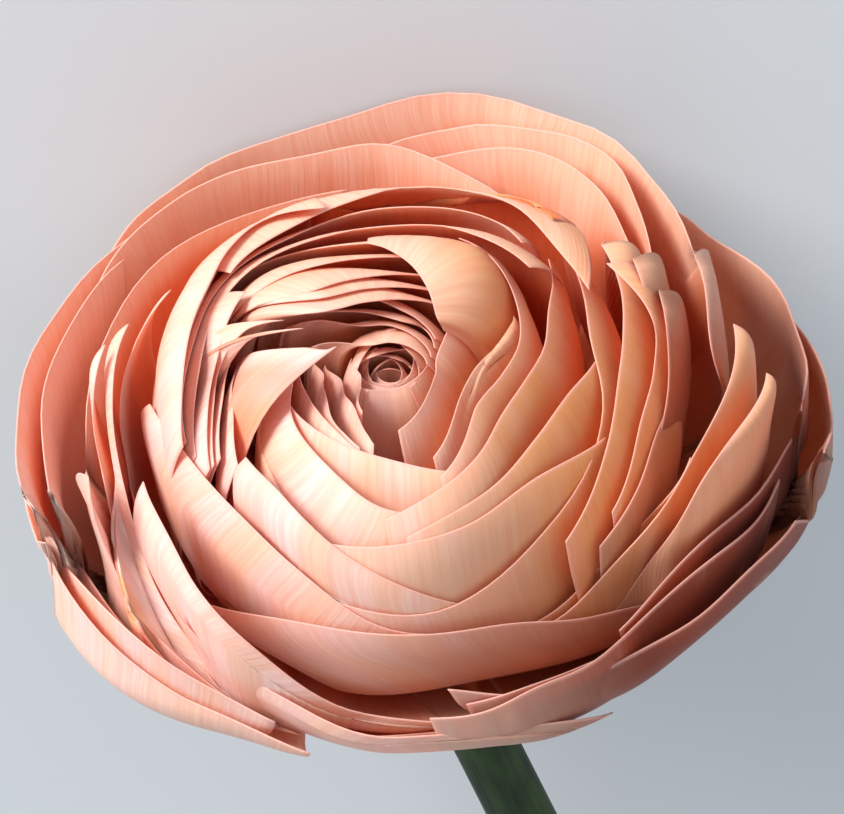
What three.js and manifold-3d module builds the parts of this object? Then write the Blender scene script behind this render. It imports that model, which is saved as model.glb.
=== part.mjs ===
// A cut ranunculus lying on a table: a double bloom of many thin petals round a tight heart,
// the green calyx under it and a short length of bare stem.
// Millimetres, +Z up. The bloom faces -Y and leans back on its lowest petals, the stem runs out
// along +Y and its cut end touches the table.
import * as THREE from "three";
import { mergeVertices } from "three/addons/utils/BufferGeometryUtils.js";
import Module from "manifold-3d";

// Driving dimensions, in mm and degrees.
const bellyHeight = 14; // height of the widest ring of petals above the bloom's base
const ballBelly = 31; // belly radius of the outermost petal that closes over the heart
const guardBelly = 42; // belly radius of the outermost guard petals
const guardFlare = 3; // how far the guard petals' rims spread past their bellies
const ballShift = [0.06, -0.1]; // how far the ball sits off the eye, as a share of its belly radius
const guardShift = [0.04, 0.055]; // and the guard petals
const petalThickness = 0.8; // in the ball
const guardThickness = 1.1; // in the petals that stand open round it
const coreBelly = 29.4; // belly radius of the solid heart that the petals stand out of
const bloomTilt = 15; // the bloom's axis above the table
const restHeight = 36; // the bloom's base above the table, with its lowest petals pressed flat
const giveHeight = 3; // height above the table at which the petals start to give
const giveFloor = -1.45; // level that the pressed petals tend to, a little below their flat spot
const stemRadius = 3.7;
const stemLength = 118;
const stemBend = 15; // how far the stem turns sideways from the bloom's axis
const clawClimb = 56; // how far below its belly a petal's claw ends, inside the seat
const clawWidth = 0.6; // a petal's width there, as a share of its full width
const stemEndHeight = 3.55; // the middle of the cut end above the table
const calyxRadius = 6.5;
const calyxDepth = 5;
const sepalCount = 5;
const sepalLength = 17;
const sepalThickness = 0.9;
const seam = 0.35; // gap between pieces that touch

const degrees = Math.PI / 180;
const lerp = THREE.MathUtils.lerp;
const clamp = THREE.MathUtils.clamp;

// A value that runs straight through a few [place, value] pairs, and stays level past the ends.
function through(pairs, place) {
  let i = 1;
  while (i < pairs.length - 1 && place > pairs[i][0]) i += 1;
  const [from, low] = pairs[i - 1];
  const [to, high] = pairs[i];
  return lerp(low, high, clamp((place - from) / (to - from), 0, 1));
}

// Nested bowls. Each is named by its belly radius and holds one or more petals.
const topOfBowl = [[0, 26], [6, 28.5], [12, 31.5], [18, 33.5], [26, 34], [32, 33], [36, 32], [42, 30]];
const closingOfBowl = [[0, 1], [ballBelly, 1], [33, 0.45], [37, 0.2], [guardBelly, 0]];

// The belly of a bowl at an azimuth: the ball leans to one side of the eye, the guards to another.
function bellyAt(azimuth, belly) {
  const guard = clamp((belly - ballBelly) / (guardBelly - ballBelly), 0, 1);
  const share = Math.min(1, belly / ballBelly);
  const right = share * lerp(ballShift[0], guardShift[0], guard);
  const back = share * lerp(ballShift[1], guardShift[1], guard);
  return belly * (1 + right * Math.cos(azimuth * degrees) + back * Math.sin(azimuth * degrees));
}

// The point of a bowl at an azimuth round the bloom and at a climb: -90 at the claw, 0 at the
// belly and 90 where a closed bowl meets over the heart.
function onBowl(azimuth, belly, climb) {
  const rise = Math.sin(Math.abs(climb) * degrees);
  const reach = Math.max(0, Math.cos(climb * degrees));
  const wide = bellyAt(azimuth, belly);
  const closing = through(closingOfBowl, belly);
  let radius = 0;
  let height = 0;
  if (climb < 0) {
    const claw = 1 + 0.1 * belly;
    const base = 6 * (1 - belly / guardBelly);
    radius = claw + (wide - claw) * reach;
    height = bellyHeight - (bellyHeight - base) * rise;
  } else {
    const flare = guardFlare * (1 - closing) * rise * rise;
    radius = wide * (1 - closing * (1 - reach ** 0.8)) + flare;
    height = bellyHeight + (through(topOfBowl, belly) - bellyHeight) * rise ** 0.8;
  }
  const turn = azimuth * degrees;
  return new THREE.Vector3(radius * Math.cos(turn), radius * Math.sin(turn), height);
}

// The climb at which a closed bowl reaches in to a radius, and at which any bowl reaches a height.
function climbToRadius(azimuth, belly, radius) {
  const share = clamp(radius / bellyAt(azimuth, belly), 0, 1);
  return Math.acos(share ** 1.25) / degrees;
}

function climbToHeight(belly, height) {
  const share = clamp((height - bellyHeight) / (through(topOfBowl, belly) - bellyHeight), 0, 1);
  return Math.asin(share ** 1.25) / degrees;
}

// Bloom frame to table frame. The bloom's own +Z becomes its axis, leaning up from -Y.
const layDown = new THREE.Matrix4().makeTranslation(0, 0, restHeight)
  .multiply(new THREE.Matrix4().makeRotationX((90 - bloomTilt) * degrees))
  .multiply(new THREE.Matrix4().makeRotationZ(Math.PI));

// A point of the bloom in the table frame: what comes near the table gives way softly.
function settled(point) {
  const placed = point.applyMatrix4(layDown);
  const room = giveHeight - giveFloor;
  if (placed.z < giveHeight) placed.z = giveFloor + room * Math.exp((placed.z - giveHeight) / room);
  return placed;
}

// A closed sheet over a grid of places: both faces are split into triangles alike.
function sheet(columns, rows, thickness, place) {
  const positions = [];
  const indices = [];
  const step = 0.02;
  const corner = (side, i, j) => (side * (rows + 1) + j) * (columns + 1) + i;
  for (const side of [0, 1]) {
    for (let j = 0; j <= rows; j += 1) {
      for (let i = 0; i <= columns; i += 1) {
        const across = (i / columns) * 2 - 1;
        const along = j / rows;
        const here = place(across, along);
        const a = place(clamp(across + step, -1, 1), along).sub(place(clamp(across - step, -1, 1), along));
        const b = place(across, clamp(along + step, 0, 1)).sub(place(across, clamp(along - step, 0, 1)));
        const out = a.cross(b).normalize();
        here.addScaledVector(out, (side - 0.5) * thickness);
        positions.push(here.x, here.y, here.z);
      }
    }
  }
  const quad = (a, b, c, d) => indices.push(a, b, c, a, c, d);
  for (let j = 0; j < rows; j += 1) {
    for (let i = 0; i < columns; i += 1) {
      quad(corner(1, i, j), corner(1, i + 1, j), corner(1, i + 1, j + 1), corner(1, i, j + 1));
      indices.push(corner(0, i, j), corner(0, i + 1, j + 1), corner(0, i + 1, j));
      indices.push(corner(0, i, j), corner(0, i, j + 1), corner(0, i + 1, j + 1));
    }
  }
  for (let i = 0; i < columns; i += 1) {
    quad(corner(0, i, 0), corner(0, i + 1, 0), corner(1, i + 1, 0), corner(1, i, 0));
    quad(corner(1, i, rows), corner(1, i + 1, rows), corner(0, i + 1, rows), corner(0, i, rows));
  }
  for (let j = 0; j < rows; j += 1) {
    quad(corner(1, 0, j), corner(1, 0, j + 1), corner(0, 0, j + 1), corner(0, 0, j));
    quad(corner(0, columns, j), corner(0, columns, j + 1), corner(1, columns, j + 1), corner(1, columns, j));
  }
  const geometry = new THREE.BufferGeometry();
  geometry.setAttribute("position", new THREE.Float32BufferAttribute(positions, 3));
  geometry.setIndex(indices);
  return geometry;
}

// A petal with a rounded outline on one bowl: it starts from a narrow claw, or from sunk inside the
// heart, widens, and its rim climbs to a value for each azimuth.
function petalSheet({ belly, from, to, thickness, start, side, rimClimb, columns, rows }) {
  const middle = (from + to) / 2;
  const half = (to - from) / 2;
  return sheet(columns, rows, thickness, (across, along) => {
    const lean = across * 88 * degrees;
    const wide = Math.sign(across) * Math.abs(Math.sin(lean)) ** 0.8;
    const high = Math.cos(lean) ** 0.35;
    const rim = side + (rimClimb(middle + half * wide, wide) - side) * high;
    const spread = lerp(start < 0 ? clawWidth : 1, 1, Math.min(1, along * 1.8) ** 0.7);
    return settled(onBowl(middle + half * wide * spread, belly, lerp(start, rim, along)));
  });
}

// A rim value through three: at the petal's first side edge, in its middle and at its second.
const rimThrough = (first, middle, second) => (wide) =>
  middle + ((second - first) / 2) * wide + ((first + second) / 2 - middle) * wide * wide;

// Ball petals, outermost last: belly radius, azimuths of the two side edges, and the rim's distance
// from the eye at the first edge, in the middle and at the second edge.
const ballPetals = [
  [9.5, 60, 190, 5, 3.6, 8], [9, 200, 330, 5, 3, 5], [10.5, 310, 430, 5, 4, 6],
  [12.5, 90, 200, 6, 6, 11], [12, 170, 290, 10, 9.5, 12], [12.5, 285, 372, 11.5, 6, 7],
  [15, 70, 170, 8, 7.5, 13], [15.5, 160, 260, 11, 10.8, 17], [15.5, 276, 366, 13.5, 9.6, 12],
  [14.5, 0, 90, 10, 10, 13], [18.5, 284, 420, 16, 13, 17], [18, 100, 210, 12, 12, 16],
  [19.5, 185, 290, 16, 15, 18], [21, 60, 160, 16, 15, 17], [22, 274, 385, 22, 15.3, 18],
  [22.5, 205, 300, 21, 20, 23], [23.5, 100, 215, 19, 19, 22], [24.5, 20, 120, 19, 18.5, 21],
  [25, 276, 350, 26, 20.2, 23], [26.5, 110, 215, 23, 22, 25], [27, 292, 402, 28, 20.8, 25.5],
  [28, 40, 150, 23, 22.5, 24], [28.2, 225, 320, 26, 27, 28], [29.3, 294, 394, 31, 24, 27.5],
  [30, 180, 265, 26, 26.5, 31], [30.2, 15, 130, 26, 25, 25.5], [31, 236, 318, 34, 32.5, 32],
];

// Collar and guard petals, which stand open: belly radius, azimuths of the side edges, and the
// rim's height above the bloom's base at the first edge, in the middle and at the second edge.
const openPetals = [
  [33, 130, 232, 29, 30, 24], [34.5, 118, 222, 29, 29.5, 24], [36, 112, 240, 28.5, 28.5, 20],
  [34, 208, 300, 24, 20, 15], [35.5, 290, 350, 22, 25, 27], [37, 284, 360, 21, 24, 27],
  [38.5, 296, 356, 20, 22, 26], [35, 20, 135, 29, 28.5, 28], [37.5, 335, 475, 26, 28.5, 27],
  [39.3, 95, 205, 27, 26.5, 25], [39.5, 182, 272, 25, 22, 16], [40, 262, 352, 18, 18.5, 23],
  [41.5, 30, 152, 25, 26.5, 25.5], [41.5, 205, 296, 21, 16, 13], [41, 305, 395, 16, 21, 25],
];

const wasm = await Module();
wasm.setup();

// A closed geometry as a solid for joining and cutting, and back.
function solidOf(geometry) {
  const bare = geometry.clone();
  bare.deleteAttribute("normal");
  bare.deleteAttribute("uv");
  const merged = mergeVertices(bare, 1e-4);
  return new wasm.Manifold(new wasm.Mesh({
    numProp: 3,
    vertProperties: merged.attributes.position.array,
    triVerts: new Uint32Array(merged.index.array),
  }));
}

function geometryOf(solid) {
  const mesh = solid.getMesh();
  const geometry = new THREE.BufferGeometry();
  geometry.setAttribute("position", new THREE.BufferAttribute(mesh.vertProperties, mesh.numProp));
  geometry.setIndex(new THREE.BufferAttribute(mesh.triVerts, 1));
  return geometry;
}

// Joins solids and keeps the one outer body, so sealed hollows are filled and scraps dropped.
function joined(solids) {
  const bodies = solids.reduce((all, solid) => all.add(solid)).decompose();
  return bodies.reduce((best, body) => (body.volume() > best.volume() ? body : best));
}

// A closed solid skinned over rings of points, lowest first, each as long as the next, with a point
// in the middle of the first and of the last.
function ringSolid(rings, bottomPoint, topPoint) {
  const sides = rings[0].length;
  const points = [...rings.flat(), bottomPoint, topPoint];
  const bottom = rings.length * sides;
  const last = bottom - sides;
  const indices = [];
  for (let i = 0; i < sides; i += 1) {
    const next = (i + 1) % sides;
    indices.push(bottom, next, i, bottom + 1, last + i, last + next);
    for (let j = 0; j < rings.length - 1; j += 1) {
      const [a, b] = [j * sides + i, j * sides + next];
      indices.push(a, b, b + sides, a, b + sides, a + sides);
    }
  }
  return new THREE.BufferGeometry().setFromPoints(points).setIndex(indices);
}

// A solid round the bloom's axis from a profile of shares of a belly radius and heights.
function turned(belly, profile) {
  const sides = 20;
  const place = (azimuth, share, height) => {
    const radius = share * bellyAt(azimuth, belly);
    const turn = azimuth * degrees;
    return settled(new THREE.Vector3(radius * Math.cos(turn), radius * Math.sin(turn), height));
  };
  const azimuths = Array.from({ length: sides }, (_, i) => (i / sides) * 360);
  const rings = profile.map(([share, height]) => azimuths.map((azimuth) => place(azimuth, share, height)));
  return ringSolid(rings, place(0, 0, profile[0][1]), place(0, 0, profile[profile.length - 1][1]));
}

// The heart is hollowed round the eye, and the seat under it holds every claw.
const heartProfile = [
  [0.5, 4], [0.85, 8.5], [1, 14], [0.98, 18], [0.87, 21.5], [0.67, 24.5], [0.42, 25.5], [0.22, 24],
  [0.08, 21.5],
];
const seatProfile = [[0.2, 0.1], [0.35, 0.5], [0.5, 1.4], [0.62, 2.5], [0.6, 5], [0.5, 8]];

function petalGeometries() {
  const petals = [];
  for (const [belly, from, to, first, middle, second] of ballPetals) {
    const rim = rimThrough(first, middle, second);
    petals.push(petalSheet({
      belly,
      from,
      to,
      thickness: petalThickness,
      start: belly > coreBelly ? -clawClimb : 12,
      side: 20,
      rimClimb: (azimuth, wide) => climbToRadius(azimuth, belly, rim(wide)),
      columns: belly > 15 ? 7 : 5,
      rows: belly > coreBelly ? 4 : 3,
    }));
  }
  for (const [belly, from, to, first, middle, second] of openPetals) {
    const rim = rimThrough(first, middle, second);
    petals.push(petalSheet({
      belly,
      from,
      to,
      thickness: guardThickness,
      start: -clawClimb,
      side: -15,
      rimClimb: (azimuth, wide) => climbToHeight(belly, rim(wide)),
      columns: 9,
      rows: 4,
    }));
  }
  return petals;
}

// The bloom, cut flat where it rests on the table.
function bloomGeometry() {
  const core = [turned(coreBelly, heartProfile), turned(guardBelly, seatProfile)];
  const bloom = joined([...core, ...petalGeometries()].map(solidOf));
  const table = new THREE.BoxGeometry(200, 200, 20).translate(0, 0, -10);
  return geometryOf(joined([bloom.subtract(solidOf(table))]));
}

// The calyx: a small green cup, level above, whose rim spreads into rounded sepals.
function calyxGeometry() {
  const sides = 60;
  const top = -seam - 0.4;
  const lobe = (turn) => lerp(calyxRadius, sepalLength, Math.abs(Math.cos((turn * sepalCount) / 2)) ** 0.7);
  const rings = [
    [() => stemRadius + 0.3, top - calyxDepth],
    [() => calyxRadius - 0.8, top - calyxDepth * 0.45],
    [(turn) => lobe(turn) - 0.6, top - sepalThickness],
    [lobe, top - sepalThickness / 2],
    [(turn) => lobe(turn) - 0.6, top],
  ];
  const turns = Array.from({ length: sides }, (_, i) => (i / sides) * 2 * Math.PI);
  const place = (radius, turn, height) =>
    new THREE.Vector3(radius * Math.cos(turn), radius * Math.sin(turn), height).applyMatrix4(layDown);
  const points = rings.map(([radiusAt, height]) => turns.map((turn) => place(radiusAt(turn), turn, height)));
  return ringSolid(points, place(0, 0, top - calyxDepth), place(0, 0, top));
}

// The stem leaves along the bloom's axis, turns aside and runs down to the table.
function stemGeometry() {
  const axis = new THREE.Vector3(0, Math.cos(bloomTilt * degrees), -Math.sin(bloomTilt * degrees));
  const start = new THREE.Vector3(0, 0, restHeight).addScaledVector(axis, calyxDepth + 2 * seam + 0.4);
  const aside = new THREE.Vector3(-Math.sin(stemBend * degrees), Math.cos(stemBend * degrees), 0);
  const end = start.clone().addScaledVector(aside, stemLength * Math.cos(bloomTilt * degrees));
  end.z = stemEndHeight;
  const bend = start.clone().addScaledVector(axis, 5);
  const near = bend.clone().lerp(end, 0.15);
  const middle = bend.clone().lerp(end, 0.55).add(new THREE.Vector3(0.8, 0, 1.2));
  const path = new THREE.CatmullRomCurve3([start, bend, near, middle, end]);
  const section = new THREE.Shape().absarc(0, 0, stemRadius, 0, Math.PI * 2);
  return new THREE.ExtrudeGeometry(section, { curveSegments: 6, steps: 20, extrudePath: path });
}

function mesh(name, geometry, color, roughness) {
  const made = new THREE.Mesh(geometry, new THREE.MeshStandardMaterial({ color, roughness, metalness: 0 }));
  made.name = name;
  return made;
}

const flower = new THREE.Group();
flower.add(mesh("bloom", bloomGeometry(), 0xf3b296, 0.6));
flower.add(mesh("calyx", calyxGeometry(), 0x7d9a54, 0.65));
flower.add(mesh("stem", stemGeometry(), 0x2c4426, 0.5));

// The origin is at the middle of the part's own footprint, on the table.
const box = new THREE.Box3().setFromObject(flower, true);
flower.position.set(-(box.min.x + box.max.x) / 2, -(box.min.y + box.max.y) / 2, -box.min.z);

export default flower;
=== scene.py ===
# A cut ranunculus lying on a pale table, its face towards the camera.
import math
import bpy
import numpy as np
from mathutils import Matrix, Vector


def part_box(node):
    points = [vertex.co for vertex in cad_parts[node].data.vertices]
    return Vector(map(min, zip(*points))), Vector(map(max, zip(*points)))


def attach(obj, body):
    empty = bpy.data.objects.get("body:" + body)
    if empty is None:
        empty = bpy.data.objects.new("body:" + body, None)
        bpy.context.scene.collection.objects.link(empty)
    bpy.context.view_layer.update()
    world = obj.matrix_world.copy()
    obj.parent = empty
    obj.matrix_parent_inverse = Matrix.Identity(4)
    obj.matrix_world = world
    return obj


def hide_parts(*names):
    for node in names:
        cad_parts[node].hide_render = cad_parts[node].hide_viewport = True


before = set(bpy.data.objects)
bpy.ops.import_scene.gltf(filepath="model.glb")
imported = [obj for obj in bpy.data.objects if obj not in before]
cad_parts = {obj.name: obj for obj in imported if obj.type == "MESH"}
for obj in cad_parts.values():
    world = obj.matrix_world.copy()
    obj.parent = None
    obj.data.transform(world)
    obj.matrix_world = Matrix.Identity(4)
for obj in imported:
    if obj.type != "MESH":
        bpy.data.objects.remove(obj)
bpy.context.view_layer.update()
print("frame loaded")

# The bloom has a frame of its own, in mm: z runs from its base to its face, azimuth 0 is to the
# right of somebody who looks at the face, and 90 is at the back, which rests on the table.
mm = 0.001  # in metres
bloomPlace = {
    "tilt": 15.0,  # degrees between the bloom's axis and the table
    "baseHeight": 0.036,  # this and the next two are in metres
    "sepalReach": 0.017,
    "calyxCorner": (0.0040, 0.00575),  # the calyx's far corner from the bloom's base: aside, below
    "give": 3.0,  # petals nearer the table than this are pressed flat, in mm
    "pressedTo": 0.25,  # mm
}
tilt = math.radians(bloomPlace["tilt"])
calyxLow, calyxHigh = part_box("calyx")
cornerAside, cornerBelow = bloomPlace["calyxCorner"]
bloomBase = Vector((
    calyxLow.x + bloomPlace["sepalReach"],
    calyxHigh.y - cornerAside * math.sin(tilt) - cornerBelow * math.cos(tilt),
    bloomPlace["baseHeight"],
))
bloomTurn = np.array([
    (-1, 0, 0),
    (0, -math.sin(tilt), -math.cos(tilt)),
    (0, -math.cos(tilt), math.sin(tilt)),
])


def toTable(points, pressed=True):
    # from the bloom's frame to metres on the table
    placed = np.asarray(points, float) @ bloomTurn * mm + np.array(bloomBase)
    if pressed:
        give, floor = bloomPlace["give"] * mm, bloomPlace["pressedTo"] * mm
        low = floor + (give - floor) * np.exp(np.minimum(placed[..., 2] - give, 0) / (give - floor))
        placed[..., 2] = np.where(placed[..., 2] < give, low, placed[..., 2])
    return placed


# Petals lie on nested bowls, each named by its belly radius in mm. The ball's bowls close over
# the heart, the guards' stand open. A list of pairs gives a value at some bellies, or at some
# distances from the eye, and runs straight between them.
bloomShape = {
    "bellyHeight": 14.0,
    "ballBelly": 31.0,
    "guardBelly": 42.0,
    "guardFlare": 3.0,
    "ballShift": (0.0, 0.06),  # how far a bowl sits off the eye, as a share of its belly
    "guardShift": (0.04, 0.04),
    "baseHeight": 6.0,  # of the innermost bowl's claws
    "claw": (1.0, 0.1),  # a bowl's radius at its claws: mm, and a share of its belly
    "tops": ((0, 27), (4, 29), (8, 32), (12, 34.5), (18, 36), (24, 35.5), (31, 34.5), (36, 32), (42, 30)),
    "squareness": ((0, 2.5), (15, 3.2), (25, 4), (32, 4), (42, 2.2)),
    "closing": ((0, 1), (31, 1), (33, 0.5), (37, 0.2), (42, 0)),
    "dome": (  # height of the bloom's face, by distance from the eye
        (0, 27), (3, 28.5), (8, 31.5), (14, 33), (20, 32.5), (25, 31), (30, 28.5),
        (35, 26), (40, 24), (43, 22), (60, 22)),
    "eyeHeight": 27.0,
    "crowding": 24.0,  # bowls wider than this crowd together towards the ball's outside
    "fullness": (  # how much of its face a petal shows outside its rim, by azimuth
        (0, 0.55), (60, 0.6), (100, 0.5), (140, 0.4), (190, 0.35),
        (225, 0.8), (250, 1), (300, 1), (330, 0.8), (360, 0.55)),
}
viewing = {
    "down": 45.0,  # degrees from the bloom's axis, towards its front
    "turn": 7.0,  # degrees that the camera rolls
    "distance": 450.0,  # mm from the eye
    "lens": 187.0,
    "sensorWidth": 36.0,
    "shift": (0.038, -0.034),
}
down = math.radians(viewing["down"])
towardsViewer = np.array([0, -math.sin(down), math.cos(down)])
viewer = towardsViewer * viewing["distance"] + [0, 0, bloomShape["eyeHeight"]]


def through(pairs, place):
    return np.interp(place, [pair[0] for pair in pairs], [pair[1] for pair in pairs])


def bellyAt(azimuth, belly):
    shape = bloomShape
    guard = np.clip((belly - shape["ballBelly"]) / (shape["guardBelly"] - shape["ballBelly"]), 0, 1)
    share = np.minimum(1, belly / shape["ballBelly"])
    right, back = (share * (ball * (1 - guard) + outer * guard)
                   for ball, outer in zip(shape["ballShift"], shape["guardShift"]))
    turn = np.radians(azimuth)
    return belly * (1 + right * np.cos(turn) + back * np.sin(turn))


def onBowl(azimuth, belly, climb, opening=0.0):
    # climb runs from -90 at the claw through 0 at the belly to 90 where a closed bowl meets;
    # opening takes away some of its closing
    shape = bloomShape
    turn, angle = np.radians(azimuth), np.radians(np.clip(climb, -90, 90))
    square = through(shape["squareness"], belly)
    norm = (np.cos(angle) ** square + np.abs(np.sin(angle)) ** square) ** (-1 / square)
    rise, reach = np.abs(np.sin(angle)) * norm, np.cos(angle) * norm
    wide = bellyAt(azimuth, belly)
    closing = through(shape["closing"], belly) * (1 - opening)
    claw = shape["claw"][0] + shape["claw"][1] * belly
    base = shape["baseHeight"] * (1 - belly / shape["guardBelly"])
    height = shape["bellyHeight"]
    under = claw + (wide - claw) * np.cos(angle), height - (height - base) * np.abs(np.sin(angle))
    over = (
        wide * (1 - closing * (1 - reach)) + shape["guardFlare"] * (1 - closing) * rise ** 2,
        height + (through(shape["tops"], belly) - height) * rise,
    )
    radius = np.where(climb < 0, under[0], over[0])
    up = np.where(climb < 0, under[1], over[1])
    return np.stack([radius * np.cos(turn), radius * np.sin(turn), up], -1)


def bowlThrough(reach):
    # the bowl whose shoulder passes through the dome at this distance from the eye
    shape = bloomShape
    bellies = np.linspace(1, shape["ballBelly"] + 2, 129)
    square = through(shape["squareness"], bellies)
    domeRise = through(shape["dome"], reach)[..., None] - shape["bellyHeight"]
    rise = np.clip(domeRise / (through(shape["tops"], bellies) - shape["bellyHeight"]), 0, 0.999)
    edge = bellies * (1 - rise ** square) ** (1 / square) * (rise < 0.999)
    edge = np.maximum.accumulate(edge, axis=-1) + bellies * 1e-6
    found = np.array([np.interp(r, e, bellies) for r, e in zip(reach, edge)])
    room = shape["ballBelly"] - shape["crowding"]
    crowded = shape["crowding"] + room * (1 - np.exp(-(found - shape["crowding"]) / room))
    return np.where(found < shape["crowding"], found, crowded)


def nearestTurn(angle):
    # the same angle between -180 and 180 degrees
    return (angle + 180) % 360 - 180


climbs = np.linspace(-40, 89.5, 519)  # the places on a bowl at which a line of sight is tried


def seenOn(belly, opening, azimuth, reach):
    # a point of the dome, slid along the line of sight onto a bowl: azimuth, climb, distance missed
    turn = np.radians(azimuth)
    spot = np.array([reach * np.cos(turn), reach * np.sin(turn), through(bloomShape["dome"], reach)])
    bowl = onBowl(azimuth * np.ones_like(climbs), belly, climbs, opening)
    sight = viewer - spot
    ray = spot + ((bowl[:, 2] - spot[2]) / sight[2])[:, None] * sight
    far = np.hypot(ray[:, 0], ray[:, 1])
    turned = azimuth + nearestTurn(np.degrees(np.arctan2(ray[:, 1], ray[:, 0])) - azimuth)
    bowl = onBowl(turned, belly, climbs, opening)
    gap = far - np.hypot(bowl[:, 0], bowl[:, 1])
    crossing = np.nonzero(gap[:-1] * gap[1:] <= 0)[0]
    if len(crossing) == 0:
        k = np.argmin(np.abs(gap))
        return turned[k], climbs[k], gap[k]
    k = crossing[-1]
    share = gap[k] / (gap[k] - gap[k + 1] + 1e-12)
    seenAzimuth = turned[k] + share * (turned[k + 1] - turned[k])
    seenClimb = climbs[k] + share * (climbs[k + 1] - climbs[k])
    return seenAzimuth, seenClimb, 0.0


def curved(a, b, c, d, t):
    # a soft curve from b to c, which comes from a and goes on to d
    return 0.5 * (
        2 * b + (c - a) * t + (2 * a - 5 * b + 4 * c - d) * t ** 2 + (3 * b - a - 3 * c + d) * t ** 3)


def smoothLine(points, shares, polar=False):
    # a soft line through the points, read at shares of its length
    points = np.array(points, float)
    if len(points) > 2:
        ends = np.vstack([2 * points[0] - points[1], points, 2 * points[-1] - points[-2]])
        t = np.linspace(0, 1, 13)[:-1][:, None]  # twelve steps from each point to the next
        parts = [curved(*four, t) for four in zip(ends[:-3], ends[1:-2], ends[2:-1], ends[3:])]
        points = np.vstack(parts + [points[-1:]])
    if polar:
        turn = np.radians(points[:, :1])
        flat = np.hstack([points[:, 1:] * np.cos(turn), points[:, 1:] * np.sin(turn)])
    else:
        flat = points * [0.5, 1]  # a degree round the eye counts as half a degree of climb
    steps = np.concatenate([[0], np.cumsum(np.linalg.norm(np.diff(flat, axis=0), axis=1))])
    wanted = np.array(shares) * steps[-1]
    return np.stack([np.interp(wanted, steps, points[:, k]) for k in range(2)], -1)


def rimOf(petal):
    # the rim's points: reaches at even steps of the petal's span round the eye
    return np.stack([np.linspace(*petal["span"], len(petal["reach"])), petal["reach"]], -1)


def spreadAlong(values, shares):
    # a value, or a list of them, spread along a rim
    values = np.atleast_1d(values).astype(float)
    if len(values) == 1:
        return np.full(len(shares), values[0])
    return np.interp(shares, np.linspace(0, 1, len(values)), values)


def soften(values, reach=3):
    width = 2 * reach + 1
    return np.convolve(np.pad(values, reach, mode="edge"), np.full(width, 1 / width), "valid")


def stackPetals(petals, gap, count=25):
    # settles each petal's belly along its rim: it reaches its rim, and lies outside all before it
    outermost = np.zeros(360)
    shares = np.linspace(0, 1, count)
    for petal in petals:
        line = smoothLine(rimOf(petal), shares, True)
        azimuths, reaches = line[:, 0], line[:, 1]
        opens = spreadAlong(petal.get("open", 0), shares)
        if "belly" in petal:
            bellies = spreadAlong(petal["belly"], shares)
        else:
            full = through(bloomShape["fullness"], azimuths % 360)
            bellies = reaches + (bowlThrough(reaches) - reaches) * full
        for _ in range(2):  # moving out changes the place that is seen, so twice
            short = np.array([seenOn(b, o, *spot)[2] for b, o, spot in zip(bellies, opens, line)])
            bellies = bellies + np.maximum(short, 0)
        around = np.round(azimuths).astype(int)
        beneath = np.array([max(outermost[(a + k) % 360] for k in (-4, -2, 0, 2, 4)) for a in around])
        if "exact" not in petal:
            bellies = np.maximum(bellies, beneath + petal.get("gap", gap))
        petal["bellies"] = soften(bellies)
        steps = np.arange(int(np.ceil(azimuths.min())), int(azimuths.max()) + 1)
        order = np.argsort(azimuths)
        laid = np.interp(steps, azimuths[order], petal["bellies"][order])
        outermost[steps % 360] = np.maximum(outermost[steps % 360], laid)


petalForm = {
    "rootClimb": -78.0,  # where its claw meets the seat
    "clawWidth": 0.4,  # of its full width
    "widening": 0.4,  # the lower this is, the sooner a petal widens above its claw
    "sideSteps": 24,  # the points at which a side that goes on from the rim is seen
}


def petalPlaces(petal, u, v):
    # azimuth, belly, climb and opening of a petal's points, from its claw (v 0) to its rim (v 1)
    root, spread = petalForm["rootClimb"], v ** petalForm["widening"]
    line = smoothLine(rimOf(petal), u, True)
    bellies = spreadAlong(petal["bellies"], u)
    opens = spreadAlong(petal.get("open", 0), u)
    top = np.array([seenOn(b, o, *spot)[:2] for b, o, spot in zip(bellies, opens, line)])
    wide, middle = top[-1, 0] - top[0, 0], (top[-1, 0] + top[0, 0]) / 2
    halfClaw = petalForm["clawWidth"] / 2 * wide
    corners = (middle - halfClaw, middle + halfClaw)
    sides = []
    for end, side, corner in ((0, "left", corners[0]), (-1, "right", corners[1])):
        if side in petal:
            steps = np.linspace(0, 1, petalForm["sideSteps"])
            edge = smoothLine([rimOf(petal)[end]] + petal[side], steps, True)
            edge = np.array([seenOn(bellies[end], opens[end], *spot)[:2] for spot in edge])[::-1]
            edge[-1] = top[end]
            sides.append(smoothLine(np.vstack([[corner, root], edge]), v))
        else:
            azimuths = corner + (top[end, 0] - corner) * spread
            sides.append(np.stack([azimuths, root + (top[end, 1] - root) * v], -1))
    base = np.stack([corners[0] + (corners[1] - corners[0]) * u, np.full(len(u), root)], -1)
    across = u[None, :]
    grid = []
    for k, up in ((0, spread[:, None]), (1, v[:, None])):
        low, high = base[:, k], top[:, k]
        ruled = (1 - across) * sides[0][:, k, None] + across * sides[1][:, k, None]
        ruled = ruled + (1 - up) * low + up * high
        leftCorners = (1 - across) * ((1 - up) * low[0] + up * high[0])
        rightCorners = across * ((1 - up) * low[-1] + up * high[-1])
        grid.append(ruled - leftCorners - rightCorners)
    size = grid[0].shape
    return grid[0], np.broadcast_to(bellies, size), grid[1], np.broadcast_to(opens, size)


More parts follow.
